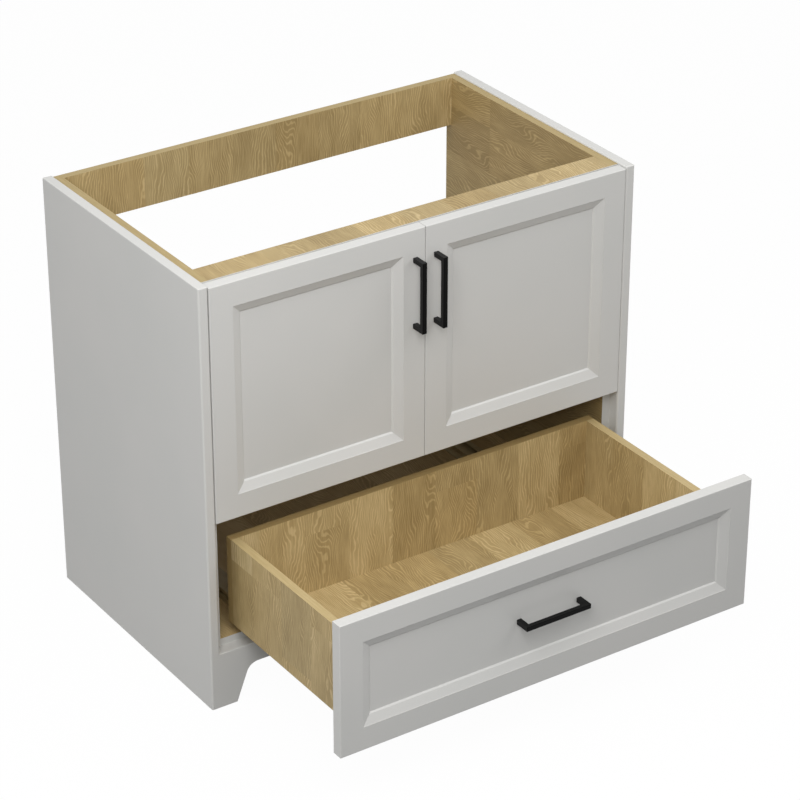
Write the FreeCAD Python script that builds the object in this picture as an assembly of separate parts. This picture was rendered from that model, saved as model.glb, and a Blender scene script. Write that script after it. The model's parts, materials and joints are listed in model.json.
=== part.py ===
"""A 36 inch bathroom vanity base: two doors over one full-width drawer, open top and open back.

Grey lacquered outer panels, doors, drawer front and apron stand round a carcass of oak-faced board.
Lengths are millimetres. +X is to the right seen from the front, +Y runs to the wall, +Z is up.
The origin is on the floor, under the middle of the whole part as it stands with the drawer drawn.
"Back" distances in the helpers are measured from the plane of the side panels' front edges.
"""
import FreeCAD, Part
import math
import os

from FreeCAD import Vector

# Overall cabinet
width = 914.0
height = 837.0
depth = 545.0
side_panel_thickness = 19.0
side_panel_round = 3.5
side_panel_top_round = 2.0
board = 16.0
edge_band = 1.0
carcass_drop = 3.0
bay_floor_z = 125.0
shelf_underside_z = 381.0
front_rail_depth = 52.0
back_rail_height = 98.0

# Feet and apron
apron_top_z = 112.0
apron_underside_z = 72.0
foot_width = 52.0
foot_run = 27.6
foot_round = 25.0
rear_rail_underside_z = 60.0

# Doors and drawer front
front_thickness = 22.0
front_standoff = 3.0
front_round = 1.5
door_top_gap = 0.5
door_shelf_lap = 2.2
door_side_gap = 1.2
door_centre_gap = 1.0
drawer_front_apron_gap = 3.5
drawer_front_door_gap = 1.8
drawer_front_side_gap = 1.2
frame_width = 45.8
bevel_width = 19.2
bevel_lip = 0.8
bevel_foot = 2.8
panel_recess = 10.5

# Pulls
pull_bar = 9.0
pull_hole_spacing = 128.0
pull_projection = 31.0
pull_edge_ease = 0.8
door_pull_from_edge = 21.5
door_pull_drop = 121.9
drawer_pull_rise = 4.0
pull_screw_radius = 2.0
pull_screw_bite = 9.0
pull_screw_head_radius = 4.5
pull_screw_head_height = 2.5

# Drawer box and its travel
drawer_drawn = 391.7
drawer_box_side_gap = 25.0
drawer_box_depth = 405.0
drawer_box_height = 175.0
drawer_box_underside_z = 150.0
drawer_board = 16.0
drawer_bottom_thickness = 11.0
drawer_rebate = 6.0
drawer_screw_rise_shares = (0.25, 0.75)
drawer_screw_side_shares = (-0.8, -0.25, 0.25, 0.8)

# Drawer slides: a channel on the bay floor, a double-tee runner, and a channel under the box
slide_place_share = 0.84
slide_half_width = 19.0
slide_flange = 14.0
slide_wall = 1.5
slide_lip = 9.5
slide_play = 0.3
slide_channel_height = 10.5
slide_web = 4.0
slide_start_back = 28.0
slide_cabinet_shorter = 5.0
slide_moving_shorter = 25.0
slide_screw_shares = (0.08, 0.38, 0.66, 0.92)
slide_screw_radius = 1.8
slide_screw_length = 10.0
slide_screw_head_radius = 3.2
slide_screw_head_height = 1.4

# Concealed cup hinges, in distances in from the door's outer edge and back from its front face
hinge_from_door_end = 90.0
hinge_cup_radius = 17.5
hinge_cup_depth = 12.0
hinge_cup_wall = 1.0
hinge_cup_centre_in = 22.5
hinge_flange_thickness = 1.0
hinge_flange_edge = 1.2
hinge_flange_half_height = 28.0
hinge_flange_in_near = 24.0
hinge_flange_in_far = 40.0
hinge_cup_screw_in = 32.0
hinge_cup_screw_spread = 22.5
hinge_arm_pivot_in = 36.0
hinge_arm_pivot_back = 36.0
hinge_cup_pivot_in = 11.0
hinge_cup_pivot_back = 19.0
hinge_elbow_in = 22.0
hinge_elbow_back = 12.8
hinge_link_half_height = 6.0
hinge_link_radius = 1.25
hinge_link_eye_radius = 2.5
hinge_link_heel_radius = 3.4
hinge_pin_radius = 1.2
hinge_pin_play = 0.05
hinge_cheek = 1.8
hinge_cheek_gap = 0.25
hinge_cheek_radius = 4.0
hinge_arm_web = 2.0
hinge_arm_height = 6.0
hinge_arm_bend_back = 46.0
hinge_arm_rear_back = 80.0
hinge_plate_thickness = 2.0
hinge_plate_front_back = 46.0
hinge_plate_rear_back = 78.0
hinge_plate_half_height = 24.0
hinge_rib_half_height = 6.0
hinge_rib_height = 9.5
hinge_screw_back = 62.0
hinge_screw_spread = 16.0
hinge_screw_radius = 1.8
hinge_screw_length = 12.0
hinge_screw_head_radius = 3.4
hinge_screw_head_height = 1.3

# Dowels, screws and bumpers
dowel_radius = 4.0
dowel_length = 30.0
dowel_in_side = 11.0
drawer_dowel_in_face = 10.0
dowel_end_room = 0.5
fit_play = 0.05
dowel_board_shares = (0.2, 0.8)
wood_screw_radius = 2.0
wood_screw_head_radius = 4.0
wood_screw_head_height = 2.0
side_screw_length = 30.0
apron_screw_length = 27.0
drawer_front_screw_length = 25.0
side_screw_bay_shares = ((0.07, 0.45), (0.88, 0.28))
side_screw_door_shares = ((0.07, 0.49), (0.88, 0.13))
apron_screw_shares = (-0.72, -0.26, 0.26, 0.72)
bumper_radius = 4.0
bumper_gap = 0.3
bumper_from_edge = 9.0
drawer_bumper_end_shares = (0.08, 0.92)

# Cutters run this far past the faces that they cut
overrun = 1.0

# Worked out from the driving dimensions
half = width / 2
inner_panel_x = half - side_panel_thickness
bay_x = inner_panel_x - board
reach_forward = drawer_drawn - panel_recess + pull_projection
wall_y = (depth + reach_forward) / 2
front_y = wall_y - depth
carcass_top_z = height - carcass_drop
bay_floor_underside_z = bay_floor_z - board
shelf_top_z = shelf_underside_z + board
door_top_z = carcass_top_z - door_top_gap
door_bottom_z = shelf_underside_z - door_shelf_lap
drawer_front_top_z = door_bottom_z - drawer_front_door_gap
drawer_front_bottom_z = apron_top_z + drawer_front_apron_gap
carcass_front = front_thickness + front_standoff
apron_thickness = carcass_front
board_front = carcass_front + edge_band
door_outer_x = inner_panel_x - door_side_gap
drawer_front_half = inner_panel_x - drawer_front_side_gap
drawer_front_height = drawer_front_top_z - drawer_front_bottom_z
drawer_half = bay_x - drawer_box_side_gap
drawer_inner_x = drawer_half - drawer_board
drawer_top_z = drawer_box_underside_z + drawer_box_height
drawer_floor_z = drawer_box_underside_z + drawer_bottom_thickness
drawer_front_back = front_thickness - drawer_drawn
drawer_box_end = drawer_front_back + drawer_box_depth
slide_x = slide_place_share * drawer_half
slide_length = drawer_box_depth - slide_cabinet_shorter
slide_middle_length = drawer_box_depth - slide_moving_shorter
slide_drawer_length = drawer_box_depth - slide_moving_shorter
hinge_levels = {"lower": door_bottom_z + hinge_from_door_end, "upper": door_top_z - hinge_from_door_end}
hinge_plate_in = door_outer_x - bay_x
hinge_rib_in = hinge_plate_in + hinge_plate_thickness + hinge_rib_height

X_AXIS = Vector(1, 0, 0)
Y_AXIS = Vector(0, 1, 0)
Z_AXIS = Vector(0, 0, 1)
ORIGIN = Vector(0, 0, 0)


def slab(x0, x1, back0, back1, z0, z1):
    """A block between two x, two distances back from the front plane, and two heights."""
    corner = Vector(x0, front_y + back0, z0)
    return Part.makeBox(x1 - x0, back1 - back0, z1 - z0, corner)


def rod(radius, length, x, back, z, direction):
    """A cylinder from one point along a direction."""
    return Part.makeCylinder(radius, length, Vector(x, front_y + back, z), direction)


def mirrored(shape):
    """The same piece on the other side of the cabinet."""
    return shape.mirror(ORIGIN, X_AXIS)


def both_sides(shapes):
    return shapes + [mirrored(shape) for shape in shapes]


def joined(first, *rest):
    """Several touching blocks as one solid."""
    return first.fuse(list(rest)).removeSplitter()


def cut_all(shape, cutters):
    return shape.cut(Part.makeCompound(cutters)) if cutters else shape


def eased(shape, size, wanted):
    """Chamfer the edges whose middle point passes a test."""
    edges = [edge for edge in shape.Edges if wanted(edge.BoundBox.Center)]
    return shape.makeChamfer(size, edges)


def rounded(shape, size, wanted):
    """Round the edges whose middle point passes a test."""
    edges = [edge for edge in shape.Edges if wanted(edge.BoundBox.Center)]
    return shape.makeFillet(size, edges)


def prism(points, z0, z1):
    """An upright prism on an outline of (x, back) points."""
    wire = Part.makePolygon([Vector(x, front_y + back, z0) for x, back in points + points[:1]])
    return Part.Face(wire).extrude(Vector(0, 0, z1 - z0))


def screw(shaft_radius, length, head_radius, head_height, x, back, z, direction):
    """A screw whose head sits on the surface at the point, with its shaft along the direction."""
    shaft = rod(shaft_radius, length, x, back, z, direction)
    head = rod(head_radius, head_height, x, back, z, direction * -1)
    return joined(shaft, head)


# Joinery positions, for the right half

def cross_boards():
    """Each board that runs from side to side: its back and height limits."""
    return {
        "carcass_bottom": (board_front, depth, bay_floor_underside_z, bay_floor_z),
        "divider_shelf": (board_front, depth, shelf_underside_z, shelf_top_z),
        "front_top_rail": (board_front, carcass_front + front_rail_depth,
                           carcass_top_z - board, carcass_top_z),
        "back_top_rail": (depth - board, depth, carcass_top_z - back_rail_height, carcass_top_z),
        "back_lower_rail": (depth - board, depth, bay_floor_z, bay_floor_z + back_rail_height),
    }


def base_rails():
    """The two stretchers under the carcass: their back and height limits."""
    return {
        "base_front_rail": (apron_thickness, apron_thickness + board,
                            apron_underside_z, bay_floor_underside_z),
        "base_rear_rail": (depth - board, depth, rear_rail_underside_z, bay_floor_underside_z),
    }


def dowel_spots(back0, back1, z0, z1):
    """The two dowel places on a board's end, along the longer side of that end."""
    spots = []
    for share in dowel_board_shares:
        if back1 - back0 > z1 - z0:
            spots.append((back0 + share * (back1 - back0), (z0 + z1) / 2))
        else:
            spots.append(((back0 + back1) / 2, z0 + share * (z1 - z0)))
    return spots


def carcass_dowel_spots():
    return [spot for limits in cross_boards().values() for spot in dowel_spots(*limits)]


def base_dowel_spots():
    return [spot for limits in base_rails().values() for spot in dowel_spots(*limits)]


def dowel_holes(x_face, spots):
    """Dowel holes from a joint face at x, into the board inside it and the side outside it."""
    inside = dowel_length - dowel_in_side + dowel_end_room
    reach = inside + dowel_in_side + dowel_end_room
    return [rod(dowel_radius + fit_play, reach, x_face - inside, back, z, X_AXIS) for back, z in spots]


def side_screw_spots():
    """The screws that pull an outer panel onto its carcass side."""
    spots = []
    for shares, low, high in ((side_screw_bay_shares, bay_floor_z, shelf_underside_z),
                              (side_screw_door_shares, shelf_top_z, carcass_top_z - board)):
        for back_share, height_share in shares:
            back = carcass_front + back_share * (depth - carcass_front)
            spots.append((back, low + height_share * (high - low)))
    return spots


def slide_screw_spots(start_back, length):
    return [start_back + share * length for share in slide_screw_shares]


def hinge_plate_screw_spots():
    spots = []
    for level in hinge_levels.values():
        for way in (-1, 1):
            spots.append((hinge_screw_back, level + way * hinge_screw_spread))
    return spots


# Outer shell

def side_panel():
    """The right outer panel, rounded in front, and left square where the apron butts flush against it."""
    panel = slab(inner_panel_x, half, 0, depth, 0, height)
    fronts = [edge for edge in panel.Edges
              if abs(edge.BoundBox.Center.y - front_y) < side_panel_round
              and edge.BoundBox.ZLength > height / 2]
    panel = panel.makeFillet(side_panel_round, fronts)
    tops = [edge for edge in panel.Edges
            if edge.BoundBox.ZMin > height - side_panel_top_round and edge.BoundBox.YLength > depth / 2]
    panel = panel.makeFillet(side_panel_top_round, tops)
    beside_apron = slab(inner_panel_x, inner_panel_x + side_panel_round, 0, side_panel_round, 0, apron_top_z)
    panel = joined(panel, beside_apron)
    holes = dowel_holes(inner_panel_x, base_dowel_spots())
    for back, z in side_screw_spots():
        bite = side_screw_length - board
        holes.append(rod(wood_screw_radius + fit_play, bite + overrun, inner_panel_x - overrun,
                         back, z, X_AXIS))
    return cut_all(panel, holes)


def front_apron():
    """The board between the feet, cut away underneath to two shaped feet."""
    foot_x = half - foot_width
    corner_x = foot_x - foot_run
    slope = math.atan2(apron_underside_z, foot_run)
    tangent = foot_round * math.tan(slope / 2)
    arc_low = (corner_x + tangent * math.cos(slope), apron_underside_z - tangent * math.sin(slope))
    arc_top = (corner_x - tangent, apron_underside_z)
    arc_middle = (arc_top[0] + foot_round * math.sin(slope / 2),
                  apron_underside_z - foot_round * (1 - math.cos(slope / 2)))

    def at(x, z):
        return Vector(x, front_y, z)

    edges = []
    for way in (-1, 1):
        outer = way * inner_panel_x
        edges.append(Part.makeLine(at(outer, apron_top_z), at(outer, 0)))
        edges.append(Part.makeLine(at(outer, 0), at(way * foot_x, 0)))
        edges.append(Part.makeLine(at(way * foot_x, 0), at(way * arc_low[0], arc_low[1])))
        edges.append(Part.Arc(at(way * arc_low[0], arc_low[1]), at(way * arc_middle[0], arc_middle[1]),
                              at(way * arc_top[0], arc_top[1])).toShape())
    edges.append(Part.makeLine(at(-arc_top[0], apron_underside_z), at(arc_top[0], apron_underside_z)))
    edges.append(Part.makeLine(at(-inner_panel_x, apron_top_z), at(inner_panel_x, apron_top_z)))
    outline = Part.Wire(Part.__sortEdges__(edges))
    apron = Part.Face(outline).extrude(Vector(0, apron_thickness, 0))
    apron = rounded(apron, front_round, lambda p: abs(p.y - front_y) < front_round
                    and abs(p.z - apron_top_z) < front_round)
    bite = apron_screw_length - board
    holes = [rod(wood_screw_radius + fit_play, bite + overrun, share * inner_panel_x,
                 apron_thickness + overrun, apron_screw_z(), Y_AXIS * -1) for share in apron_screw_shares]
    return cut_all(apron, holes)


def apron_screw_z():
    return (apron_underside_z + bay_floor_underside_z) / 2


# Carcass

def carcass_side():
    """The right carcass board, with its dowel, slide and hinge holes."""
    side = slab(bay_x, inner_panel_x, board_front, depth, bay_floor_underside_z, carcass_top_z)
    holes = dowel_holes(bay_x, carcass_dowel_spots())
    for back, z in side_screw_spots():
        holes.append(rod(wood_screw_radius + fit_play, board + 2 * overrun, bay_x - overrun, back, z, X_AXIS))
    for back, z in hinge_plate_screw_spots():
        bite = hinge_screw_length - hinge_plate_thickness
        holes.append(rod(hinge_screw_radius + fit_play, bite + overrun, bay_x - overrun, back, z, X_AXIS))
    return cut_all(side, holes)


def cross_board(name):
    """A board from carcass side to carcass side, dowelled at both ends."""
    back0, back1, z0, z1 = cross_boards()[name]
    shape = slab(-bay_x, bay_x, back0, back1, z0, z1)
    holes = both_sides(dowel_holes(bay_x, dowel_spots(back0, back1, z0, z1)))
    if name == "carcass_bottom":
        for back in slide_screw_spots(slide_start_back, slide_length):
            hole = rod(slide_screw_radius + fit_play, slide_screw_length - slide_wall + overrun,
                       slide_screw_x(), back, bay_floor_z + overrun, Z_AXIS * -1)
            holes += both_sides([hole])
    return cut_all(shape, holes)


def base_rail(name):
    """A stretcher between the outer panels, under the carcass bottom."""
    back0, back1, z0, z1 = base_rails()[name]
    shape = slab(-inner_panel_x, inner_panel_x, back0, back1, z0, z1)
    holes = both_sides(dowel_holes(inner_panel_x, dowel_spots(back0, back1, z0, z1)))
    if name == "base_front_rail":
        for share in apron_screw_shares:
            holes.append(rod(wood_screw_radius + fit_play, board + 2 * overrun, share * inner_panel_x,
                             apron_thickness + board + overrun, apron_screw_z(), Y_AXIS * -1))
    return cut_all(shape, holes)


def edge_bands():
    """Lacquered strips on the front edges of the carcass boards."""
    bands = both_sides([slab(bay_x, inner_panel_x, carcass_front, board_front,
                             bay_floor_underside_z, carcass_top_z)])
    for name in ("carcass_bottom", "divider_shelf", "front_top_rail"):
        z0, z1 = cross_boards()[name][2:]
        bands.append(slab(-bay_x, bay_x, carcass_front, board_front, z0, z1))
    return bands


def dowels():
    """Beech dowels in every joint between a cross board and a side."""
    pins = []
    for x_face, spots in ((bay_x, carcass_dowel_spots()), (inner_panel_x, base_dowel_spots())):
        start = x_face - dowel_length + dowel_in_side
        pins += [rod(dowel_radius, dowel_length, start, back, z, X_AXIS) for back, z in spots]
    return both_sides(pins)


def side_panel_screws():
    screws = [screw(wood_screw_radius, side_screw_length, wood_screw_head_radius, wood_screw_head_height,
                    bay_x, back, z, X_AXIS) for back, z in side_screw_spots()]
    return both_sides(screws)


def apron_screws():
    return [screw(wood_screw_radius, apron_screw_length, wood_screw_head_radius, wood_screw_head_height,
                  share * inner_panel_x, apron_thickness + board, apron_screw_z(), Y_AXIS * -1)
            for share in apron_screw_shares]


# Doors, drawer front and pulls

def framed_front(x0, x1, front, z0, z1):
    """A lacquered front cut from one board: frame, lip, gentle bevel with a steep foot, and field."""
    shape = slab(x0, x1, front, front + front_thickness, z0, z1)
    shape = rounded(shape, front_round, lambda p: abs(p.y - front_y - front) < front_round)
    foot = frame_width + bevel_width - bevel_foot

    def sloping(outer, inner, back0, back1):
        return Part.makeWedge(x0 + outer, front_y + back0, z0 + outer, z0 + inner, x0 + inner,
                              x1 - outer, front_y + back1, z1 - outer, z1 - inner, x1 - inner)

    lip_back = front + bevel_lip
    foot_back = front + panel_recess - bevel_foot
    mouth = slab(x0 + frame_width, x1 - frame_width, front - overrun, lip_back,
                 z0 + frame_width, z1 - frame_width)
    pocket = joined(mouth, sloping(frame_width, foot, lip_back, foot_back),
                    sloping(foot, foot + bevel_foot, foot_back, foot_back + bevel_foot))
    return shape.cut(pocket)


def pull(x, back, z, upright):
    """A square-bar pull with two legs, standing forward of the face at this distance back."""
    arm = pull_hole_spacing / 2 + pull_bar / 2
    thick = pull_bar / 2

    def bar_block(along0, along1, out0, out1):
        if upright:
            return slab(x - thick, x + thick, back - out1, back - out0, z + along0, z + along1)
        return slab(x + along0, x + along1, back - out1, back - out0, z - thick, z + thick)

    body = joined(bar_block(-arm, arm, pull_projection - pull_bar, pull_projection),
                  bar_block(-arm, pull_bar - arm, 0, pull_projection - pull_bar),
                  bar_block(arm - pull_bar, arm, 0, pull_projection - pull_bar))
    front = front_y + back - pull_projection
    body = eased(body, pull_edge_ease, lambda p: abs(p.y - front) < pull_edge_ease)
    holes = [rod(pull_screw_radius + fit_play, pull_screw_bite + fit_play + overrun, hole_x, back + overrun,
                 hole_z, Y_AXIS * -1) for hole_x, hole_z in pull_hole_places(x, z, upright)]
    return cut_all(body, holes)


def pull_hole_places(x, z, upright):
    reach = pull_hole_spacing / 2
    if upright:
        return [(x, z - reach), (x, z + reach)]
    return [(x - reach, z), (x + reach, z)]


def pull_screws(x, back, z, upright, through):
    """Machine screws from behind the boards, this much board, into the pull's legs."""
    return [screw(pull_screw_radius, through + pull_screw_bite, pull_screw_head_radius,
                  pull_screw_head_height, hole_x, back + through, hole_z, Y_AXIS * -1)
            for hole_x, hole_z in pull_hole_places(x, z, upright)]


def door_pull_place():
    """Centre of the right door's pull."""
    return door_centre_gap / 2 + door_pull_from_edge, door_top_z - door_pull_drop


def door():
    """The right door, bored for two hinge cups and its pull."""
    shape = framed_front(door_centre_gap / 2, door_outer_x, 0, door_bottom_z, door_top_z)
    cutters = []
    for level in hinge_levels.values():
        cutters.append(rod(hinge_cup_radius + fit_play, hinge_cup_depth + fit_play + overrun,
                           door_outer_x - hinge_cup_centre_in, front_thickness + overrun, level, Y_AXIS * -1))
        for way in (-1, 1):
            bite = hinge_screw_length - hinge_flange_thickness
            cutters.append(rod(hinge_screw_radius + fit_play, bite + overrun,
                               door_outer_x - hinge_cup_screw_in, front_thickness + overrun,
                               level + way * hinge_cup_screw_spread, Y_AXIS * -1))
    x, z = door_pull_place()
    for hole_x, hole_z in pull_hole_places(x, z, True):
        cutters.append(rod(pull_screw_radius + fit_play, front_thickness + 2 * overrun, hole_x, -overrun,
                           hole_z, Y_AXIS))
    return cut_all(shape, cutters)


def door_bumpers():
    """Clear pads on the right door's free corners, just short of the rail and the shelf."""
    x = door_centre_gap / 2 + bumper_from_edge
    rail_z = (carcass_top_z - board + door_top_z) / 2
    shelf_z = (shelf_underside_z + shelf_top_z) / 2
    thick = front_standoff - bumper_gap
    return [rod(bumper_radius, thick, x, front_thickness, z, Y_AXIS) for z in (rail_z, shelf_z)]


# Concealed hinges, drawn for the left door and mirrored for the right

def hinge_x(distance_in):
    return distance_in - door_outer_x


def hinge_plan(points, z0, z1):
    """A prism on an outline given as (in, back) from the left door's outer front corner."""
    return prism([(hinge_x(distance_in), back) for distance_in, back in points], z0, z1)


def hinge_round(radius, distance_in, back, z0, z1):
    return rod(radius, z1 - z0, hinge_x(distance_in), back, z0, Z_AXIS)


def hinge_strap(start, end, radius, z0, z1):
    """A flat bar of this half width between two (in, back) points."""
    length = math.dist(start, end)
    side_in = (start[1] - end[1]) / length * radius
    side_back = (end[0] - start[0]) / length * radius
    return hinge_plan([(start[0] + side_in, start[1] + side_back), (start[0] - side_in, start[1] - side_back),
                       (end[0] - side_in, end[1] - side_back), (end[0] + side_in, end[1] + side_back)], z0, z1)


def hinge_cup(level):
    """The pressed cup in the door, its screw flange, and room for the link to fold into it."""
    mouth = front_thickness
    x = hinge_x(hinge_cup_centre_in)
    outer = rod(hinge_cup_radius, hinge_cup_depth, x, mouth, level, Y_AXIS * -1)
    flange = slab(hinge_x(hinge_flange_in_near), hinge_x(hinge_flange_in_far), mouth,
                  mouth + hinge_flange_thickness, level - hinge_flange_half_height,
                  level + hinge_flange_half_height)
    rim = rod(hinge_cup_radius + hinge_flange_edge, hinge_flange_thickness, x, mouth, level, Y_AXIS)
    hollow = rod(hinge_cup_radius - hinge_cup_wall,
                 hinge_cup_depth - hinge_cup_wall + hinge_flange_thickness + overrun, x,
                 mouth + hinge_flange_thickness + overrun, level, Y_AXIS * -1)
    holes = [rod(hinge_screw_radius + fit_play, hinge_flange_thickness + 2 * overrun,
                 hinge_x(hinge_cup_screw_in), mouth - overrun, level + way * hinge_cup_screw_spread, Y_AXIS)
             for way in (-1, 1)]
    return cut_all(joined(outer, rim, flange), [hollow] + holes)


def hinge_cup_pin(level):
    """The pin across the cup, from wall to wall."""
    reach = hinge_cup_radius
    pin = hinge_round(hinge_pin_radius, hinge_cup_pivot_in, hinge_cup_pivot_back, level - reach, level + reach)
    inside = rod(hinge_cup_radius - hinge_cup_wall, hinge_cup_depth + overrun, hinge_x(hinge_cup_centre_in),
                 front_thickness + overrun, level, Y_AXIS * -1)
    return pin.common(inside)


def hinge_link(level):
    """The hooked link that folds into the cup when the door is shut."""
    z0 = level - hinge_link_half_height
    z1 = level + hinge_link_half_height
    cup_end = (hinge_cup_pivot_in, hinge_cup_pivot_back)
    elbow = (hinge_elbow_in, hinge_elbow_back)
    arm_end = (hinge_arm_pivot_in, hinge_arm_pivot_back)
    body = joined(hinge_strap(cup_end, elbow, hinge_link_radius, z0, z1),
                  hinge_strap(elbow, arm_end, hinge_link_radius, z0, z1),
                  hinge_round(hinge_link_radius, elbow[0], elbow[1], z0, z1),
                  hinge_round(hinge_link_eye_radius, cup_end[0], cup_end[1], z0, z1),
                  hinge_round(hinge_link_heel_radius, arm_end[0], arm_end[1], z0, z1))
    bores = [hinge_round(hinge_pin_radius + hinge_pin_play, end[0], end[1], z0 - overrun, z1 + overrun)
             for end in (cup_end, arm_end)]
    return cut_all(body, bores)


def hinge_cheek_levels(level):
    """The heights of the arm's two cheeks, either side of the link."""
    near = hinge_link_half_height + hinge_cheek_gap
    return [(level - near - hinge_cheek, level - near), (level + near, level + near + hinge_cheek)]


def hinge_arm(level):
    """The cranked arm: a web on the plate's rib and two cheeks that hold the link's pin."""
    far = hinge_link_half_height + hinge_cheek_gap + hinge_cheek
    web_top = hinge_rib_in + hinge_arm_web
    top = hinge_rib_in + hinge_arm_height
    pieces = [hinge_plan([(hinge_rib_in, hinge_arm_bend_back), (web_top, hinge_arm_bend_back),
                          (web_top, hinge_arm_rear_back), (hinge_rib_in, hinge_arm_rear_back)],
                         level - far, level + far)]
    nose = (hinge_arm_pivot_in, hinge_arm_pivot_back)
    for z0, z1 in hinge_cheek_levels(level):
        pieces.append(hinge_plan([(hinge_rib_in, hinge_arm_rear_back), (hinge_rib_in, hinge_arm_bend_back),
                                  (nose[0] - hinge_cheek_radius, nose[1]),
                                  (nose[0] + hinge_cheek_radius, nose[1]),
                                  (top, hinge_arm_bend_back), (top, hinge_arm_rear_back)], z0, z1))
        pieces.append(hinge_round(hinge_cheek_radius, nose[0], nose[1], z0, z1))
    arm = joined(*pieces)
    pin_hole = hinge_round(hinge_pin_radius, nose[0], nose[1], level - far - overrun, level + far + overrun)
    screw_hole = rod(hinge_screw_radius + fit_play, hinge_arm_web + 2 * overrun,
                     hinge_x(hinge_rib_in) - overrun, hinge_screw_back, level, X_AXIS)
    return cut_all(arm, [pin_hole, screw_hole])


def hinge_arm_pin(level):
    far = hinge_link_half_height + hinge_cheek_gap + hinge_cheek
    return hinge_round(hinge_pin_radius, hinge_arm_pivot_in, hinge_arm_pivot_back, level - far, level + far)


def hinge_plate(level):
    """The winged plate on the carcass side, with the raised rib that carries the arm."""
    wing_x = hinge_x(hinge_plate_in)
    wing = slab(wing_x, wing_x + hinge_plate_thickness, hinge_plate_front_back, hinge_plate_rear_back,
                level - hinge_plate_half_height, level + hinge_plate_half_height)
    rib = slab(wing_x, hinge_x(hinge_rib_in), hinge_plate_front_back, hinge_plate_rear_back,
               level - hinge_rib_half_height, level + hinge_rib_half_height)
    holes = [rod(hinge_screw_radius + fit_play, hinge_plate_thickness + 2 * overrun, wing_x - overrun,
                 hinge_screw_back, level + way * hinge_screw_spread, X_AXIS) for way in (-1, 1)]
    holes.append(rod(hinge_screw_radius + fit_play, hinge_rib_height + overrun,
                     hinge_x(hinge_rib_in) - hinge_rib_height, hinge_screw_back, level, X_AXIS))
    return cut_all(joined(wing, rib), holes)


def hinge_fixing_screws():
    """Screws through the plates into the carcass side, and through the arms into the plates."""
    screws = []
    for level in hinge_levels.values():
        for way in (-1, 1):
            screws.append(screw(hinge_screw_radius, hinge_screw_length, hinge_screw_head_radius,
                                hinge_screw_head_height, hinge_x(hinge_plate_in) + hinge_plate_thickness,
                                hinge_screw_back, level + way * hinge_screw_spread, X_AXIS * -1))
        screws.append(screw(hinge_screw_radius, hinge_rib_height, hinge_screw_head_radius,
                            hinge_screw_head_height, hinge_x(hinge_rib_in) + hinge_arm_web,
                            hinge_screw_back, level, X_AXIS * -1))
    return both_sides(screws)


def hinge_cup_screws():
    """Screws through the left cups' flanges into the door."""
    return [screw(hinge_screw_radius, hinge_screw_length, hinge_screw_head_radius, hinge_screw_head_height,
                  hinge_x(hinge_cup_screw_in), front_thickness + hinge_flange_thickness,
                  level + way * hinge_cup_screw_spread, Y_AXIS * -1)
            for level in hinge_levels.values() for way in (-1, 1)]


# Drawer slides, drawn for the right side and mirrored for the left

def slide_screw_x():
    """The slides' screws are in the flange, towards the middle of the drawer."""
    return slide_x - slide_half_width - slide_flange / 2


def lipped_channel(start_back, end_back, base_z, up):
    """A rolled channel with inturned lips and a screw flange, open upward or downward."""

    def level(rise):
        return base_z + up * rise

    def block(x0, x1, rise0, rise1):
        low, high = sorted((level(rise0), level(rise1)))
        return slab(x0, x1, start_back, end_back, low, high)

    outer = slide_half_width
    pieces = [block(slide_x - outer - slide_flange, slide_x + outer, 0, slide_wall)]
    for way in (-1, 1):
        wall_out = slide_x + way * outer
        wall_in = slide_x + way * (outer - slide_wall)
        lip_in = slide_x + way * (outer - slide_wall - slide_lip)
        x0, x1 = sorted((wall_out, wall_in))
        pieces.append(block(x0, x1, slide_wall, slide_channel_height))
        x0, x1 = sorted((lip_in, wall_in))
        pieces.append(block(x0, x1, slide_channel_height - slide_wall, slide_channel_height))
    channel = joined(*pieces)
    holes = [rod(slide_screw_radius + fit_play, slide_wall + 2 * overrun, slide_screw_x(), back,
                 base_z - up * overrun, Z_AXIS * up)
             for back in slide_screw_spots(start_back, end_back - start_back)]
    return cut_all(channel, holes)


def slide_cabinet_member():
    """The channel screwed to the bay floor."""
    return lipped_channel(slide_start_back, slide_start_back + slide_length, bay_floor_z, 1)


def slide_drawer_start():
    return drawer_box_end - drawer_board - slide_drawer_length


def slide_drawer_member():
    """The channel screwed under the drawer box."""
    start = slide_drawer_start()
    return lipped_channel(start, start + slide_drawer_length, drawer_box_underside_z, -1)


def slide_middle_member():
    """The hollow double-tee runner between the two channels, half as far out as the drawer."""
    centred = slide_start_back + (slide_length - slide_middle_length) / 2
    start = centred - drawer_drawn / 2
    end = start + slide_middle_length
    flange_half = slide_half_width - slide_wall - slide_play
    flange_height = slide_channel_height - 2 * slide_wall - 2 * slide_play
    low = bay_floor_z + slide_wall + slide_play
    high = drawer_box_underside_z - slide_wall - slide_play
    lower = slab(slide_x - flange_half, slide_x + flange_half, start, end, low, low + flange_height)
    upper = slab(slide_x - flange_half, slide_x + flange_half, start, end, high - flange_height, high)
    web = slab(slide_x - slide_web / 2, slide_x + slide_web / 2, start, end,
               low + flange_height, high - flange_height)
    hollows = []
    for way in (-1, 1):
        near = slide_x + way * slide_wall / 2
        far = slide_x + way * (flange_half - slide_wall)
        x0, x1 = sorted((near, far))
        for bottom in (low, high - flange_height):
            hollows.append(slab(x0, x1, start - overrun, end + overrun, bottom + slide_wall,
                                bottom + flange_height - slide_wall))
    return cut_all(joined(lower, upper, web), hollows)


def slide_cabinet_screws():
    return both_sides([screw(slide_screw_radius, slide_screw_length, slide_screw_head_radius,
                             slide_screw_head_height, slide_screw_x(), back, bay_floor_z + slide_wall,
                             Z_AXIS * -1)
                       for back in slide_screw_spots(slide_start_back, slide_length)])


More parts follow.
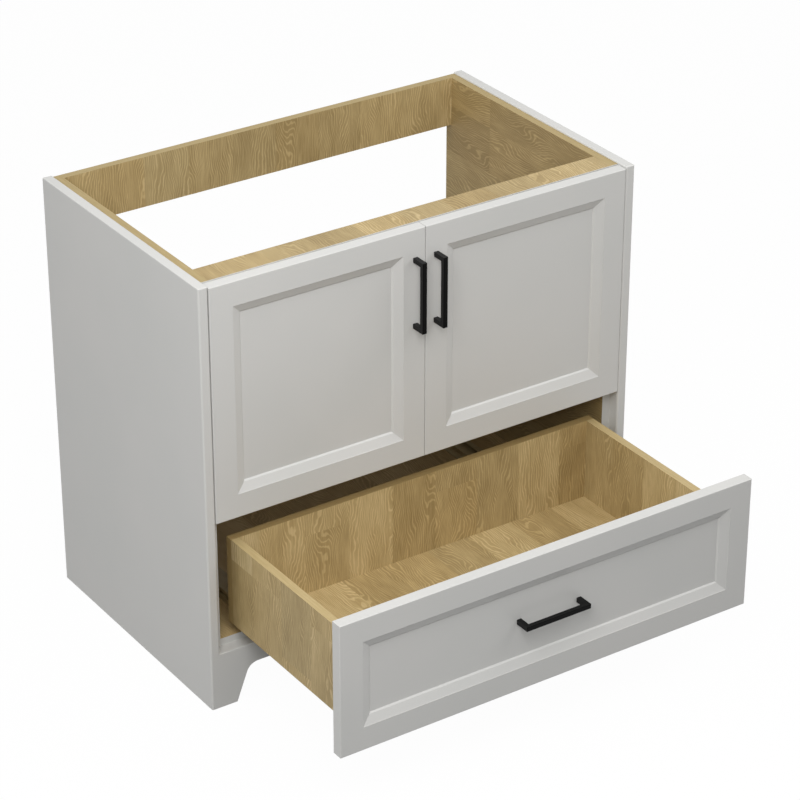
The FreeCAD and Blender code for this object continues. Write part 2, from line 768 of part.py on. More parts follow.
def slide_drawer_screws():
    return both_sides([screw(slide_screw_radius, slide_screw_length, slide_screw_head_radius,
                             slide_screw_head_height, slide_screw_x(), back,
                             drawer_box_underside_z - slide_wall, Z_AXIS)
                       for back in slide_screw_spots(slide_drawer_start(), slide_drawer_length)])


# Drawer box

def drawer_dowels_at(radius, room):
    """The right side's four dowels, or their holes with room at the ends."""
    pins = []
    length = dowel_length + 2 * room
    for share in dowel_board_shares:
        z = drawer_floor_z + share * (drawer_top_z - drawer_floor_z)
        pins.append(rod(radius, length, drawer_inner_x - dowel_length + drawer_dowel_in_face - room,
                        drawer_front_back + drawer_board / 2, z, X_AXIS))
        pins.append(rod(radius, length, drawer_half - drawer_board / 2,
                        drawer_box_end - drawer_board + drawer_dowel_in_face + room, z, Y_AXIS * -1))
    return pins


def drawer_dowel_holes():
    return both_sides(drawer_dowels_at(dowel_radius + fit_play, dowel_end_room))


def drawer_side():
    """The right side of the drawer box, rebated for the bottom."""
    side = slab(drawer_inner_x, drawer_half, drawer_front_back, drawer_box_end - drawer_board,
                drawer_box_underside_z, drawer_top_z)
    rebate = slab(drawer_inner_x - overrun, drawer_inner_x + drawer_rebate, drawer_front_back - overrun,
                  drawer_box_end, drawer_box_underside_z - overrun, drawer_floor_z)
    return cut_all(side, [rebate] + drawer_dowel_holes())


def drawer_box_front():
    """The inner front, between the sides and above the bottom."""
    board_piece = slab(-drawer_inner_x, drawer_inner_x, drawer_front_back, drawer_front_back + drawer_board,
                       drawer_floor_z, drawer_top_z)
    holes = []
    for x, z in drawer_front_screw_places():
        holes.append(rod(wood_screw_radius + fit_play, drawer_board + 2 * overrun, x,
                         drawer_front_back - overrun, z, Y_AXIS))
    for x, z in pull_hole_places(0, drawer_pull_z(), False):
        holes.append(rod(pull_screw_radius + fit_play, drawer_board + 2 * overrun, x,
                         drawer_front_back - overrun, z, Y_AXIS))
    return cut_all(board_piece, holes + drawer_dowel_holes())


def drawer_back():
    """The back, across the ends of the sides and the bottom."""
    back = slab(-drawer_half, drawer_half, drawer_box_end - drawer_board, drawer_box_end,
                drawer_box_underside_z, drawer_top_z)
    return cut_all(back, drawer_dowel_holes())


def drawer_bottom():
    """The bottom board, let into the sides' rebates."""
    reach = drawer_inner_x + drawer_rebate
    shape = slab(-reach, reach, drawer_front_back, drawer_box_end - drawer_board,
                 drawer_box_underside_z, drawer_floor_z)
    bite = slide_screw_length - slide_wall
    holes = [rod(slide_screw_radius + fit_play, bite + overrun, slide_screw_x(), back,
                 drawer_box_underside_z - overrun, Z_AXIS)
             for back in slide_screw_spots(slide_drawer_start(), slide_drawer_length)]
    return cut_all(shape, both_sides(holes))


def drawer_pull_z():
    return (drawer_front_bottom_z + drawer_front_top_z) / 2 + drawer_pull_rise


def drawer_front_screw_places():
    return [(side_share * drawer_inner_x, drawer_floor_z + rise_share * (drawer_top_z - drawer_floor_z))
            for side_share in drawer_screw_side_shares for rise_share in drawer_screw_rise_shares]


def drawer_front():
    """The lacquered drawer front, bored for its pull and its screws."""
    front = -drawer_drawn
    shape = framed_front(-drawer_front_half, drawer_front_half, front,
                         drawer_front_bottom_z, drawer_front_top_z)
    holes = [rod(pull_screw_radius + fit_play, front_thickness + 2 * overrun, x, front - overrun, z, Y_AXIS)
             for x, z in pull_hole_places(0, drawer_pull_z(), False)]
    bite = drawer_front_screw_length - drawer_board
    holes += [rod(wood_screw_radius + fit_play, bite + overrun, x, drawer_front_back + overrun, z,
                  Y_AXIS * -1) for x, z in drawer_front_screw_places()]
    return cut_all(shape, holes)


def drawer_front_screws():
    return [screw(wood_screw_radius, drawer_front_screw_length, wood_screw_head_radius,
                  wood_screw_head_height, x, drawer_front_back + drawer_board, z, Y_AXIS * -1)
            for x, z in drawer_front_screw_places()]


def drawer_bumpers():
    """Clear pads on the drawer front's ends, just short of the carcass sides when it is shut."""
    x = (bay_x + inner_panel_x) / 2
    thick = front_standoff - bumper_gap
    return both_sides([rod(bumper_radius, thick, x, drawer_front_back,
                           drawer_front_bottom_z + share * drawer_front_height, Y_AXIS)
                       for share in drawer_bumper_end_shares])


# Putting the pieces together

def build_nodes():
    """Every node of the cabinet, as a name and its solids."""
    nodes = {
        "side_panel_right": [side_panel()],
        "side_panel_left": [mirrored(side_panel())],
        "front_apron": [front_apron()],
        "carcass_side_right": [carcass_side()],
        "carcass_side_left": [mirrored(carcass_side())],
        "carcass_edge_bands": edge_bands(),
        "carcass_dowels": dowels(),
        "side_panel_screws": side_panel_screws(),
        "apron_screws": apron_screws(),
    }
    for name in cross_boards():
        nodes[name] = [cross_board(name)]
    for name in base_rails():
        nodes[name] = [base_rail(name)]

    x, z = door_pull_place()
    right_door_pieces = {
        "door_": [door()],
        "door_pull_": [pull(x, 0, z, True)],
        "door_pull_screws_": pull_screws(x, 0, z, True, front_thickness),
        "door_bumpers_": door_bumpers(),
    }
    for name, shapes in right_door_pieces.items():
        nodes[name + "right"] = shapes
        nodes[name + "left"] = [mirrored(shape) for shape in shapes]

    left_hinge_pieces = {
        "hinge_links_": [hinge_link(level) for level in hinge_levels.values()],
        "hinge_cup_pins_": [hinge_cup_pin(level) for level in hinge_levels.values()],
        "hinge_cup_screws_": hinge_cup_screws(),
    }
    for place, level in hinge_levels.items():
        left_hinge_pieces["hinge_cup_" + place + "_"] = [hinge_cup(level)]
        left_hinge_pieces["hinge_arm_" + place + "_"] = [hinge_arm(level)]
    for name, shapes in left_hinge_pieces.items():
        nodes[name + "left"] = shapes
        nodes[name + "right"] = [mirrored(shape) for shape in shapes]
    nodes["hinge_plates"] = both_sides([hinge_plate(level) for level in hinge_levels.values()])
    nodes["hinge_arm_pins"] = both_sides([hinge_arm_pin(level) for level in hinge_levels.values()])
    nodes["hinge_fixing_screws"] = hinge_fixing_screws()

    right_drawer_pieces = {
        "slide_cabinet_member_": slide_cabinet_member(),
        "slide_middle_member_": slide_middle_member(),
        "slide_drawer_member_": slide_drawer_member(),
        "drawer_side_": drawer_side(),
    }
    for name, shape in right_drawer_pieces.items():
        nodes[name + "right"] = [shape]
        nodes[name + "left"] = [mirrored(shape)]
    nodes["slide_cabinet_screws"] = slide_cabinet_screws()
    nodes["slide_drawer_screws"] = slide_drawer_screws()
    field_back = panel_recess - drawer_drawn
    nodes["drawer_front"] = [drawer_front()]
    nodes["drawer_box_front"] = [drawer_box_front()]
    nodes["drawer_back"] = [drawer_back()]
    nodes["drawer_bottom"] = [drawer_bottom()]
    nodes["drawer_front_screws"] = drawer_front_screws()
    nodes["drawer_dowels"] = both_sides(drawer_dowels_at(dowel_radius, 0))
    nodes["drawer_bumpers"] = drawer_bumpers()
    nodes["drawer_pull"] = [pull(0, field_back, drawer_pull_z(), False)]
    nodes["drawer_pull_screws"] = pull_screws(0, field_back, drawer_pull_z(), False,
                                              front_thickness - panel_recess + drawer_board)
    return nodes


os.makedirs("parts", exist_ok=True)
for node_name, node_solids in build_nodes().items():
    whole = node_solids[0] if len(node_solids) == 1 else Part.makeCompound(node_solids)
    whole.exportStep("parts/" + node_name + ".step")
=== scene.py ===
"""Looks for a lacquered bathroom vanity base with an oak-faced carcass and black bar pulls."""
import json
import math

import bpy
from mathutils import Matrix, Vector

MM = 0.001

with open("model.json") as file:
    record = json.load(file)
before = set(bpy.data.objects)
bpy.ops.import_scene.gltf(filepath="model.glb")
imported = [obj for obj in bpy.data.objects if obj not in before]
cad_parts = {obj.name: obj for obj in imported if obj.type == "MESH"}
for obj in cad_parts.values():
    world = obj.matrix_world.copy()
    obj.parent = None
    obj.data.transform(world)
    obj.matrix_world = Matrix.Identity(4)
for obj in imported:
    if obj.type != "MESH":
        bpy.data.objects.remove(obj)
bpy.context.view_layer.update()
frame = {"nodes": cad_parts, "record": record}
nodes = frame["nodes"]


def linear(hex_colour):
    """An sRGB hex colour as the linear RGBA that shaders take."""
    parts = [int(hex_colour[i:i + 2], 16) / 255 for i in (1, 3, 5)]
    return [p / 12.92 if p <= 0.04045 else ((p + 0.055) / 1.055) ** 2.4 for p in parts] + [1.0]


def per_metre(spacing_mm):
    """The texture scale at which one feature takes this many millimetres."""
    return 1 / (spacing_mm * MM)


def add(tree, kind, inputs=None, stops=(), **settings):
    """Adds a node with its settings, its (place, hex) colour stops, and its inputs set or linked."""
    made = tree.nodes.new(kind)
    for name, value in settings.items():
        setattr(made, name, value)
    for socket, value in (inputs or {}).items():
        if isinstance(value, bpy.types.NodeSocket):
            tree.links.new(value, made.inputs[socket])
        else:
            made.inputs[socket].default_value = value
    if stops:
        points = made.color_ramp.elements
        while len(points) < len(stops):
            points.new(0.5)
        for point, (place, colour) in zip(points, stops):
            point.position = place
            point.color = linear(colour)
    return made


def new_material(name):
    """A material that has no nodes yet, and its node tree."""
    material = bpy.data.materials.new(name)
    material.use_nodes = True
    material.node_tree.nodes.clear()
    return material, material.node_tree


# Satin polyurethane lacquer sprayed on MDF: an even grey with a faint orange peel that
# softens its highlights, and a drift in tone and gloss too slight to read as a pattern.
def sprayed_lacquer():
    drift_mm, peel_mm, peel_height_mm = 220, 2.2, 0.05
    material, tree = new_material("satin_sprayed_lacquer")
    place = add(tree, "ShaderNodeTexCoord").outputs["Object"]
    drift = add(tree, "ShaderNodeTexNoise",
                {"Vector": place, "Scale": per_metre(drift_mm), "Detail": 2.0}).outputs["Fac"]
    peel = add(tree, "ShaderNodeTexNoise",
               {"Vector": place, "Scale": per_metre(peel_mm), "Detail": 1.0}).outputs["Fac"]
    colour = add(tree, "ShaderNodeValToRGB", {"Fac": drift}, stops=((0.3, "#CACAC7"), (0.7, "#CECDCA")))
    rough = add(tree, "ShaderNodeMapRange", {"Value": drift, "To Min": 0.40, "To Max": 0.46})
    bump = add(tree, "ShaderNodeBump", {"Strength": 0.05, "Distance": peel_height_mm * MM, "Height": peel})
    shader = add(tree, "ShaderNodeBsdfPrincipled",
                 {"Base Color": colour.outputs["Color"], "Roughness": rough.outputs[0],
                  "Normal": bump.outputs[0], "IOR": 1.48})
    add(tree, "ShaderNodeOutputMaterial", {"Surface": shader.outputs[0]})
    return material


# The laminate's print, with widths and lengths in millimetres. A stretch is how far a pattern is
# squeezed along the grain before it is drawn, so 0.5 makes it twice as long as it is wide.
STAVE_LENGTH, STAVE_WIDTH = 310, 94
STAVE_SET_BACK, SET_BACK_EVERY = 0.37, 3     # share of a stave, and every which row
BOARD_SPACING = 60
BOARD_SHIFT, BOARD_SHIFT_STEEPNESS = 37, 2.3     # across the grain, and how much more along it
LINE_SPACING = 4.4
LINE_BEGINS, LINE_IS_FULL = 0.15, 0.95     # heights on a growth line's sine
FIGURE_WIDTH, FIGURE_STRETCH, FIGURE_BEND = 60, 0.40, 17.0     # the bends are in line spacings
WAVE_WIDTH, WAVE_STRETCH, WAVE_BEND = 10, 0.5, 1.1
FIBRE_WIDTH, FIBRE_STRETCH = 3.0, 0.07
CLOUD_WIDTH, CLOUD_STRETCH = 36, 0.45
BAND_FIBRE_WIDTH, BAND_FIBRE_STRETCH = 2.2, 0.05
LINE_SHARE, FIBRE_SHARE, CLOUD_SHARE, STAVE_SHARE = 0.20, 0.34, 0.36, 0.22
PORE_DEPTH = 0.08
STAVE_WARMTH_SPREAD = 7.31     # draws a stave's hue apart from its tone
STAVE_FIGURE_JUMP = (13.7, 5.3, 9.1)     # moves each stave's figure away from its neighbours'
ALONG_AN_AXIS = 0.7     # the least share of a normal that counts as facing along an axis


# Oak-look laminate pressed on board. Its print shows short staves set side by side and end to
# end, each with its own tone and its own growth lines, which are pale, thin and wavy and close
# into cathedral figures. The fibre between them is drawn coarser than real oak's, so that it
# shows. A board's edge has a plain, paler band with its grain along the edge.
def oak_laminate(name, across, along, through, painted_shade=0.0, band=("#A28E60", "#AD996C"), sheen=0.5, painted_warm_light=0.0):
    """Grain along one axis, staves side by side across another, board thickness through the third.

    painted_shade lowers the print's tone, a painted shade for a board that gets little light; band is
    the edge's two colours; sheen is the strength of the mirror part; and painted_warm_light is the
    share of a warm, pale colour laid over the print, a painted warm light for light bounced onto it.
    """
    material, tree = new_material(name)
    coordinates = add(tree, "ShaderNodeTexCoord").outputs
    place = add(tree, "ShaderNodeSeparateXYZ", {0: coordinates["Object"]}).outputs
    facing = add(tree, "ShaderNodeSeparateXYZ", {0: coordinates["Normal"]}).outputs
    a, l, t = ("XYZ".index(axis) for axis in (across, along, through))

    def faces(axis):
        """One where the surface faces along the axis, and nought elsewhere."""
        lean = add(tree, "ShaderNodeMath", {0: facing[axis]}, operation="ABSOLUTE").outputs[0]
        return add(tree, "ShaderNodeMath", {0: lean, 1: ALONG_AN_AXIS}, operation="GREATER_THAN").outputs[0]

    def drawn_out(vector, width_mm, detail, stretch):
        """A pattern of this width across the grain, drawn out along it."""
        squeezed = add(tree, "ShaderNodeVectorMath", {0: vector, 1: (1.0, stretch, 1.0)},
                       operation="MULTIPLY").outputs[0]
        return add(tree, "ShaderNodeTexNoise",
                   {"Vector": squeezed, "Scale": per_metre(width_mm), "Detail": detail}).outputs["Fac"]

    # Across the grain, along it and into the board, on the board's face, its end and its edge.
    on_face, on_end, on_edge = (
        add(tree, "ShaderNodeCombineXYZ", {0: place[i], 1: place[j], 2: place[k]}).outputs[0]
        for i, j, k in ((a, l, t), (t, a, l), (t, l, a)))
    grain_place = add(tree, "ShaderNodeMix", {"Factor": faces(l), 4: on_face, 5: on_end},
                      data_type="VECTOR").outputs[1]
    grain_place = add(tree, "ShaderNodeMix", {"Factor": faces(a), 4: grain_place, 5: on_edge},
                      data_type="VECTOR").outputs[1]
    on_grain = add(tree, "ShaderNodeSeparateXYZ", {0: grain_place}).outputs

    # Boards at different depths start their staves at different places.
    board = add(tree, "ShaderNodeMath", {0: on_grain[2], 1: per_metre(BOARD_SPACING)},
                operation="MULTIPLY").outputs[0]
    board = add(tree, "ShaderNodeMath", {0: board}, operation="FLOOR").outputs[0]
    shift = add(tree, "ShaderNodeMath", {0: board, 1: BOARD_SHIFT * MM}, operation="MULTIPLY").outputs[0]
    shift_along = add(tree, "ShaderNodeMath", {0: shift, 1: BOARD_SHIFT_STEEPNESS},
                      operation="MULTIPLY").outputs[0]
    side_by_side = add(tree, "ShaderNodeMath", {0: on_grain[0], 1: shift}, operation="ADD").outputs[0]
    end_to_end = add(tree, "ShaderNodeMath", {0: on_grain[1], 1: shift_along}, operation="ADD").outputs[0]

    # Each stave is a brick with a grey of its own, which gives it its tone, hue and figure.
    stave_place = add(tree, "ShaderNodeCombineXYZ", {0: end_to_end, 1: side_by_side}).outputs[0]
    stave = add(tree, "ShaderNodeTexBrick",
                {"Vector": stave_place, "Color1": linear("#000000"), "Color2": linear("#FFFFFF"), "Scale": 1.0,
                 "Mortar Size": 0.0, "Brick Width": STAVE_LENGTH * MM, "Row Height": STAVE_WIDTH * MM},
                offset=STAVE_SET_BACK, offset_frequency=SET_BACK_EVERY).outputs["Color"]
    chance = add(tree, "ShaderNodeSeparateXYZ", {0: stave}).outputs[0]
    warmth = add(tree, "ShaderNodeMath", {0: chance, 1: STAVE_WARMTH_SPREAD}, operation="MULTIPLY").outputs[0]
    warmth = add(tree, "ShaderNodeMath", {0: warmth}, operation="FRACT").outputs[0]
    own = add(tree, "ShaderNodeVectorMath", {0: stave, 1: STAVE_FIGURE_JUMP, 2: grain_place},
              operation="MULTIPLY_ADD").outputs[0]

    # Growth lines, counted across the grain and bent by a broad figure and a small wave.
    rings = add(tree, "ShaderNodeMath", {0: on_grain[0], 1: per_metre(LINE_SPACING)},
                operation="MULTIPLY").outputs[0]
    for pattern, bend in ((drawn_out(own, FIGURE_WIDTH, 1.0, FIGURE_STRETCH), FIGURE_BEND),
                          (drawn_out(own, WAVE_WIDTH, 1.0, WAVE_STRETCH), WAVE_BEND)):
        rings = add(tree, "ShaderNodeMath", {0: pattern, 1: bend, 2: rings}, operation="MULTIPLY_ADD").outputs[0]
    line = add(tree, "ShaderNodeMath", {0: rings, 1: 2 * math.pi}, operation="MULTIPLY").outputs[0]
    line = add(tree, "ShaderNodeMath", {0: line}, operation="SINE").outputs[0]
    line = add(tree, "ShaderNodeMapRange", {"Value": line, "From Min": LINE_BEGINS, "From Max": LINE_IS_FULL},
               interpolation_type="SMOOTHSTEP").outputs[0]

    # Painted shade: a board that gets little light starts from a lower tone, so its whole print is darker.
    tone = -painted_shade
    for pattern, share in ((line, LINE_SHARE),
                           (drawn_out(own, FIBRE_WIDTH, 2.0, FIBRE_STRETCH), FIBRE_SHARE),
                           (drawn_out(own, CLOUD_WIDTH, 4.0, CLOUD_STRETCH), CLOUD_SHARE),
                           (chance, STAVE_SHARE)):
        tone = add(tree, "ShaderNodeMath", {0: pattern, 1: share, 2: tone}, operation="MULTIPLY_ADD").outputs[0]

    grey_blond = add(tree, "ShaderNodeValToRGB", {"Fac": tone},
                     stops=((0.25, "#8F7B53"), (0.51, "#AE996C"), (0.77, "#CDB98D"))).outputs["Color"]
    brown_blond = add(tree, "ShaderNodeValToRGB", {"Fac": tone},
                      stops=((0.25, "#8F794E"), (0.51, "#AF9767"), (0.77, "#CEB787"))).outputs["Color"]
    print_colour = add(tree, "ShaderNodeMix", {"Factor": warmth, 6: grey_blond, 7: brown_blond},
                       data_type="RGBA").outputs[2]
    # Painted light: a warm, pale colour laid over the print brightens it as warm bounced light would.
    if painted_warm_light:
        print_colour = add(tree, "ShaderNodeMix", {"Factor": painted_warm_light, 6: print_colour, 7: linear("#E2BF8C")},
                           data_type="RGBA").outputs[2]
    band_fibre = drawn_out(own, BAND_FIBRE_WIDTH, 2.0, BAND_FIBRE_STRETCH)
    band_colour = add(tree, "ShaderNodeValToRGB", {"Fac": band_fibre},
                      stops=((0.3, band[0]), (0.7, band[1]))).outputs["Color"]
    colour = add(tree, "ShaderNodeMix", {"Factor": faces(t), 6: band_colour, 7: print_colour}, data_type="RGBA")
    rough = add(tree, "ShaderNodeMapRange", {"Value": tone, "To Min": 0.62, "To Max": 0.48})
    bump = add(tree, "ShaderNodeBump", {"Strength": 0.12, "Distance": PORE_DEPTH * MM, "Height": tone})
    shader = add(tree, "ShaderNodeBsdfPrincipled",
                 {"Base Color": colour.outputs[2], "Roughness": rough.outputs[0], "Normal": bump.outputs[0],
                  "IOR": 1.48, "Specular IOR Level": sheen})
    add(tree, "ShaderNodeOutputMaterial", {"Surface": shader.outputs[0]})
    return material


# Polyester powder coat baked on a bar: near black from the front, with a fine pebble that
# scatters light into a faint grey haze where a face is seen at a slant.
def powder_coat():
    pebble_mm, pebble_height_mm = 0.9, 0.05
    material, tree = new_material("black_powder_coat")
    place = add(tree, "ShaderNodeTexCoord").outputs["Object"]
    pebble = add(tree, "ShaderNodeTexNoise",
                 {"Vector": place, "Scale": per_metre(pebble_mm), "Detail": 2.0}).outputs["Fac"]
    colour = add(tree, "ShaderNodeValToRGB", {"Fac": pebble}, stops=((0.35, "#040404"), (0.65, "#090909")))
    bump = add(tree, "ShaderNodeBump", {"Strength": 0.25, "Distance": pebble_height_mm * MM, "Height": pebble})
    shader = add(tree, "ShaderNodeBsdfPrincipled",
                 {"Base Color": colour.outputs["Color"], "Normal": bump.outputs[0], "Roughness": 0.44,
                  "Specular IOR Level": 0.03, "Sheen Weight": 0.40, "Sheen Roughness": 0.35})
    add(tree, "ShaderNodeOutputMaterial", {"Surface": shader.outputs[0]})
    return material


# Rolled and plated steel: its shine has streaks along the rolling direction.
def plated_steel(name, dark, light, rough_low, rough_high, streak_mm):
    streak_stretch = 0.08
    material, tree = new_material(name)
    place = add(tree, "ShaderNodeTexCoord").outputs["Object"]
    rolled = add(tree, "ShaderNodeVectorMath", {0: place, 1: (1.0, streak_stretch, 1.0)},
                 operation="MULTIPLY").outputs[0]
    streak = add(tree, "ShaderNodeTexNoise",
                 {"Vector": rolled, "Scale": per_metre(streak_mm), "Detail": 3.0}).outputs["Fac"]
    colour = add(tree, "ShaderNodeValToRGB", {"Fac": streak}, stops=((0.3, dark), (0.7, light)))
    rough = add(tree, "ShaderNodeMapRange", {"Value": streak, "To Min": rough_low, "To Max": rough_high})
    shader = add(tree, "ShaderNodeBsdfPrincipled",
                 {"Base Color": colour.outputs["Color"], "Roughness": rough.outputs[0], "Metallic": 1.0})
    add(tree, "ShaderNodeOutputMaterial", {"Surface": shader.outputs[0]})
    return material


# Epoxy coat sprayed on rolled steel slides: beige-brown, even and satin, so that they keep quiet
# beside the oak.
def epoxy_coated_steel():
    cloud_mm = 25
    material, tree = new_material("epoxy_coated_steel")
    place = add(tree, "ShaderNodeTexCoord").outputs["Object"]
    cloud = add(tree, "ShaderNodeTexNoise",
                {"Vector": place, "Scale": per_metre(cloud_mm), "Detail": 2.0}).outputs["Fac"]
    colour = add(tree, "ShaderNodeValToRGB", {"Fac": cloud}, stops=((0.3, "#9F8C62"), (0.7, "#AB986D")))
    rough = add(tree, "ShaderNodeMapRange", {"Value": cloud, "To Min": 0.48, "To Max": 0.56})
    shader = add(tree, "ShaderNodeBsdfPrincipled",
                 {"Base Color": colour.outputs["Color"], "Roughness": rough.outputs[0],
                  "Specular IOR Level": 0.3})
    add(tree, "ShaderNodeOutputMaterial", {"Surface": shader.outputs[0]})
    return material


# Turned beech: pale and close, with short flecks along the rod.
def turned_beech():
    fleck_mm, fleck_stretch = 1.2, 0.15
    material, tree = new_material("turned_beech")
    place = add(tree, "ShaderNodeTexCoord").outputs["Object"]
    along_rod = add(tree, "ShaderNodeVectorMath", {0: place, 1: (fleck_stretch, 1.0, 1.0)},
                    operation="MULTIPLY").outputs[0]
    fleck = add(tree, "ShaderNodeTexNoise",
                {"Vector": along_rod, "Scale": per_metre(fleck_mm), "Detail": 2.0}).outputs["Fac"]
    colour = add(tree, "ShaderNodeValToRGB", {"Fac": fleck}, stops=((0.3, "#B98D5E"), (0.7, "#D0A877")))
    shader = add(tree, "ShaderNodeBsdfPrincipled", {"Base Color": colour.outputs["Color"], "Roughness": 0.65})
    add(tree, "ShaderNodeOutputMaterial", {"Surface": shader.outputs[0]})
    return material


# Moulded polyurethane bumper: milky and soft, with a little light through it.
def moulded_polyurethane():
    cloud_mm = 4
    material, tree = new_material("moulded_polyurethane")
    place = add(tree, "ShaderNodeTexCoord").outputs["Object"]
    cloud = add(tree, "ShaderNodeTexNoise", {"Vector": place, "Scale": per_metre(cloud_mm)}).outputs["Fac"]
    colour = add(tree, "ShaderNodeValToRGB", {"Fac": cloud}, stops=((0.3, "#D2D2CE"), (0.7, "#DEDEDA")))
    shader = add(tree, "ShaderNodeBsdfPrincipled",
                 {"Base Color": colour.outputs["Color"], "Roughness": 0.35, "Transmission Weight": 0.3})
    add(tree, "ShaderNodeOutputMaterial", {"Surface": shader.outputs[0]})
    return material


# The finish of each slot in the record, apart from the oak's, which depends on the board.
FINISHES = {
    "grey_lacquer": sprayed_lacquer(),
    "black_powder_coat": powder_coat(),
    "beech_dowel": turned_beech(),
    "clear_bumper": moulded_polyurethane(),
    "nickel_plated_steel": plated_steel("nickel_plated_steel", "#B3AEA6", "#C9C5BE", 0.22, 0.34, 1.5),
    "galvanised_steel": epoxy_coated_steel(),
    "zinc_plated_screw": plated_steel("zinc_plated_steel", "#B0B0AE", "#C6C6C3", 0.28, 0.38, 1.0),
}

# Painted shade: these boards' print starts a little darker, for the shade they stand in.
UPRIGHT_ACROSS_X = oak_laminate("oak_laminate_upright_across_x", "X", "Z", "Y", painted_shade=0.04)
UPRIGHT_ACROSS_Y = oak_laminate("oak_laminate_upright_across_y", "Y", "Z", "X", band=("#B09B6C", "#BCA77A"))
# Painted shade: the drawer back's edge band is darker, for the shade the doors cast on its top edge.
DRAWER_BACK_SHADED_EDGE = oak_laminate("oak_laminate_drawer_back_painted_shade_edge", "X", "Z", "Y", band=("#957D50", "#A08859"))
# Painted shade: the carcass sides' print is much darker, for the little light inside the cabinet.
CARCASS_SIDE_PAINTED_SHADE = oak_laminate("oak_laminate_along_y_side_painted_shade", "Z", "Y", "X", painted_shade=0.2)
LYING_FLAT = oak_laminate("oak_laminate_flat_along_y", "X", "Y", "Z")
# Painted shade: the front rail's print is darker than the other flat boards'.
FRONT_RAIL_PAINTED_SHADE = oak_laminate("oak_laminate_front_rail_painted_shade", "X", "Y", "Z", painted_shade=0.08)
# Painted light: a warm, pale colour laid over the cabinet floor's print stands in for warm light bounced into the
# bay.
CABINET_FLOOR_PAINTED_LIGHT = oak_laminate("oak_laminate_cabinet_floor_painted_light", "X", "Y", "Z", sheen=0.1, painted_warm_light=0.16)

OAK_BOARDS = {
    "back_top_rail": UPRIGHT_ACROSS_X,
    "back_lower_rail": UPRIGHT_ACROSS_X,
    "base_front_rail": UPRIGHT_ACROSS_X,
    "base_rear_rail": UPRIGHT_ACROSS_X,
    "drawer_box_front": UPRIGHT_ACROSS_X,
    "drawer_back": DRAWER_BACK_SHADED_EDGE,
    "drawer_side_left": UPRIGHT_ACROSS_Y,
    "drawer_side_right": UPRIGHT_ACROSS_Y,
    "drawer_bottom": LYING_FLAT,
    "divider_shelf": LYING_FLAT,
    "front_top_rail": FRONT_RAIL_PAINTED_SHADE,
    "carcass_bottom": CABINET_FLOOR_PAINTED_LIGHT,
    "carcass_side_left": CARCASS_SIDE_PAINTED_SHADE,
    "carcass_side_right": CARCASS_SIDE_PAINTED_SHADE,
}


def finish_nodes():
    """Gives every CAD node the finish of its slot, and each oak board its own grain direction."""
    slot_of = {row["node"]: row["material_slot"] for row in frame["record"]["subparts"]}
    for name, node in nodes.items():
        for slot in node.material_slots:
            slot.material = OAK_BOARDS.get(name) or FINISHES[slot_of[name]]


finish_nodes()

# The photograph's view, from above and to the left of the front: metres, degrees and millimetres.
CAMERA_PLACE = (-2.6773, -3.9661, 3.0417)
CAMERA_TURN, CAMERA_DIP = 33.930, 28.322
CAMERA_LENS, CAMERA_SENSOR = 135.61, 36.0

# Name, place, aim and size in metres, and watts of each soft box.
LAMPS = (
    ("key_soft_box", (-1.35, -1.7, 2.3), (0.0, 0.0, 0.5), 1.6, 48),
    ("far_left_soft_box", (-5.0, 0.0, 2.5), (0.0, 0.0, 0.5), 2.5, 50),
    ("right_soft_box", (2.2, -1.2, 2.6), (0.0, 0.0, 0.5), 2.0, 29),
    ("top_soft_box", (0.0, 0.0, 2.6), (0.0, 0.0, 0.4), 2.2, 12),
)
STUDIO_LIGHT = 0.38
BACKDROP_WHITE = 1.0

FLOOR_HALF_WIDTH = 30.0
FLOOR_DROP = 0.5 * MM     # keeps the floor out of the plane of the feet's undersides
FLOOR_WHITE_SHARE = 0.975     # the rest of what the floor shows takes light, and so the shadow


def make_camera():
    """A camera at the photograph's place, looking along its direction."""
    turn, dip = math.radians(CAMERA_TURN), math.radians(CAMERA_DIP)
    lens = bpy.data.cameras.new("camera")
    lens.lens, lens.sensor_width = CAMERA_LENS, CAMERA_SENSOR
    camera = bpy.data.objects.new("camera", lens)
    camera.location = CAMERA_PLACE
    look = Vector((math.sin(turn) * math.cos(dip), math.cos(turn) * math.cos(dip), -math.sin(dip)))
    camera.rotation_euler = look.to_track_quat("-Z", "Y").to_euler()
    bpy.context.scene.collection.objects.link(camera)
    bpy.context.scene.camera = camera


def make_lamp(name, place, aim, size, watts):
    """A square soft box that shines from its place towards a point."""
    lamp = bpy.data.lights.new(name, "AREA")
    lamp.shape, lamp.size, lamp.energy = "SQUARE", size, watts
    holder = bpy.data.objects.new(name, lamp)
    holder.location = place
    holder.rotation_euler = (Vector(aim) - Vector(place)).to_track_quat("-Z", "Y").to_euler()
    bpy.context.scene.collection.objects.link(holder)


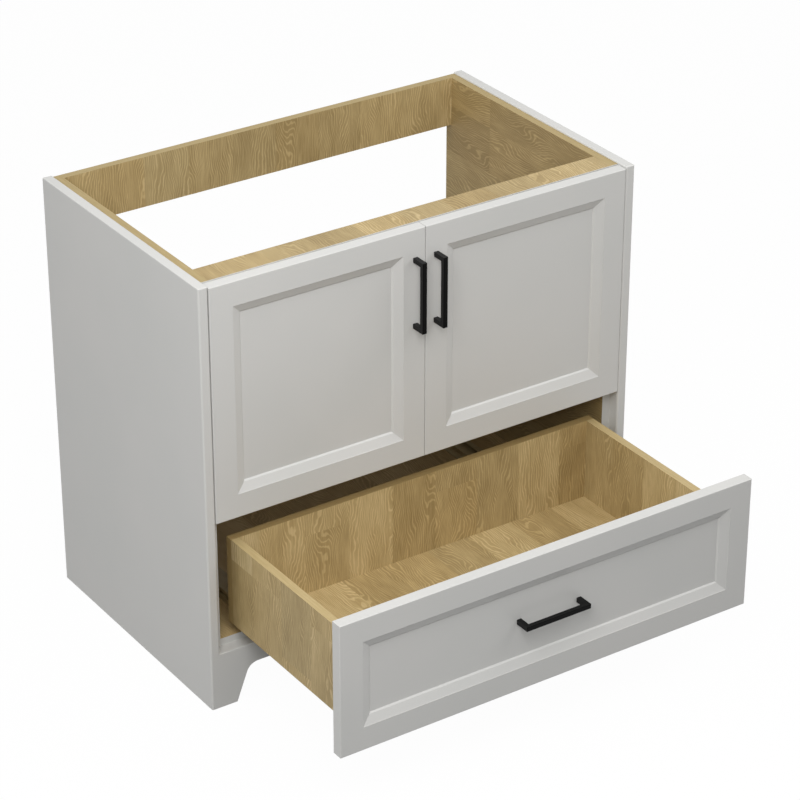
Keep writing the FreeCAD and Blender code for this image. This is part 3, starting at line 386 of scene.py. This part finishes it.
def seen_directly(tree):
    """One for rays from the camera, and for mirrored and refracted ones, and nought for light."""
    path = add(tree, "ShaderNodeLightPath").outputs
    seen = path["Is Camera Ray"]
    for ray in ("Is Glossy Ray", "Is Transmission Ray"):
        seen = add(tree, "ShaderNodeMath", {0: seen, 1: path[ray]}, operation="MAXIMUM").outputs[0]
    return seen


def make_floor():
    """A floor that looks white where it is lit, keeps a faint shadow, and throws little light back up."""
    half = FLOOR_HALF_WIDTH
    mesh = bpy.data.meshes.new("floor")
    mesh.from_pydata([(-half, -half, 0), (half, -half, 0), (half, half, 0), (-half, half, 0)], [], [(0, 1, 2, 3)])
    floor = bpy.data.objects.new("floor", mesh)
    floor.location.z = -FLOOR_DROP
    bpy.context.scene.collection.objects.link(floor)
    material, tree = new_material("pale_floor")
    dim = add(tree, "ShaderNodeBsdfDiffuse", {"Color": linear("#787878")})
    pale = add(tree, "ShaderNodeBsdfDiffuse", {"Color": linear("#F2F2F2")})
    white = add(tree, "ShaderNodeEmission", {"Color": linear("#FFFFFF"), "Strength": BACKDROP_WHITE})
    shown = add(tree, "ShaderNodeMixShader", {0: FLOOR_WHITE_SHARE, 1: pale.outputs[0], 2: white.outputs[0]})
    mixed = add(tree, "ShaderNodeMixShader", {0: seen_directly(tree), 1: dim.outputs[0], 2: shown.outputs[0]})
    add(tree, "ShaderNodeOutputMaterial", {"Surface": mixed.outputs[0]})
    mesh.materials.append(material)


def make_world():
    """Even studio light, with a white backdrop for what the camera and mirrored rays see."""
    world = bpy.data.worlds.new("studio")
    world.use_nodes = True
    bpy.context.scene.world = world
    tree = world.node_tree
    tree.nodes.clear()
    soft = add(tree, "ShaderNodeBackground", {"Color": linear("#FFFFFF"), "Strength": STUDIO_LIGHT})
    white = add(tree, "ShaderNodeBackground", {"Color": linear("#FFFFFF"), "Strength": BACKDROP_WHITE})
    mixed = add(tree, "ShaderNodeMixShader", {0: seen_directly(tree), 1: soft.outputs[0], 2: white.outputs[0]})
    add(tree, "ShaderNodeOutputWorld", {"Surface": mixed.outputs[0]})


make_camera()
make_floor()
make_world()
for lamp in LAMPS:
    make_lamp(*lamp)
bpy.context.scene.view_settings.view_transform = "Standard"
